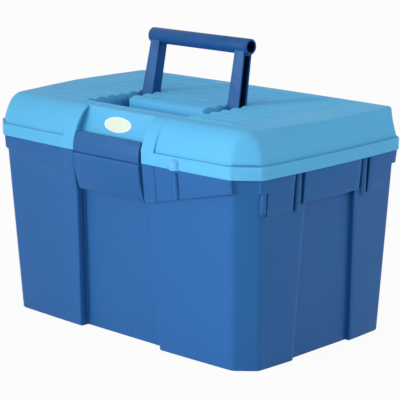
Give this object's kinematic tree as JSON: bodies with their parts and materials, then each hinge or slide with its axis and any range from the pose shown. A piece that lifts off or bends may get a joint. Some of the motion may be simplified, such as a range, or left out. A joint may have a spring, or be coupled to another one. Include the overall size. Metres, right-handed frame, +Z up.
{
  "type": "horse grooming box",
  "caption": "Moulded carrying box for grooming tools: flared tub, domed hinged lid with a flip latch, a folding handle in a well of the lid and a lift-out tray.",
  "frame": {"origin": "centre of the tub's flat bottom, on the surface that the box stands on", "axes": "+X along the box's length, -Y towards the front with the latch, +Z up"},
  "size_m": [0.4, 0.2769, 0.3161],
  "materials": {
    "tub_plastic": "fine moulded grain, satin",
    "lid_plastic": "fine moulded grain, satin",
    "latch_plastic": "satin",
    "handle_plastic": "satin",
    "tray_plastic": "satin",
    "pin_steel": "drawn wire, zinc plated",
    "label_film": "blank printed film, semi-gloss"
  },
  "bodies": {
    "tub_body": {"tub": "tub_plastic", "hinge_pin_left": "pin_steel", "hinge_pin_right": "pin_steel"},
    "lid_body": {"lid": "lid_plastic", "latch_pin": "pin_steel", "handle_pin_left": "pin_steel", "handle_pin_right": "pin_steel", "badge_label": "label_film"},
    "latch_body": {"latch_flap": "latch_plastic"},
    "handle_body": {"carry_handle": "handle_plastic"},
    "tray_body": {"insert_tray": "tray_plastic"}
  },
  "joints": [
    {"name": "lid_hinge", "type": "hinge", "parent": "tub_body", "child": "lid_body", "pos_m": [0, 0.13715, 0.2], "axis": [-1, 0, 0], "range_deg": [0, 105]},
    {"name": "latch_flip", "type": "hinge", "parent": "lid_body", "child": "latch_body", "pos_m": [0, -0.12655, 0.2155], "axis": [-1, 0, 0], "range_deg": [0, 80]},
    {"name": "handle_fold", "type": "hinge", "parent": "lid_body", "child": "handle_body", "pos_m": [0, -0.0045, 0.2355], "axis": [1, 0, 0], "range_deg": [0, 101]},
    {"name": "tray_lift", "type": "slide", "parent": "tub_body", "child": "tray_body", "axis": [0, 0, 1], "range_m": [0, 0.02]}
  ]
}
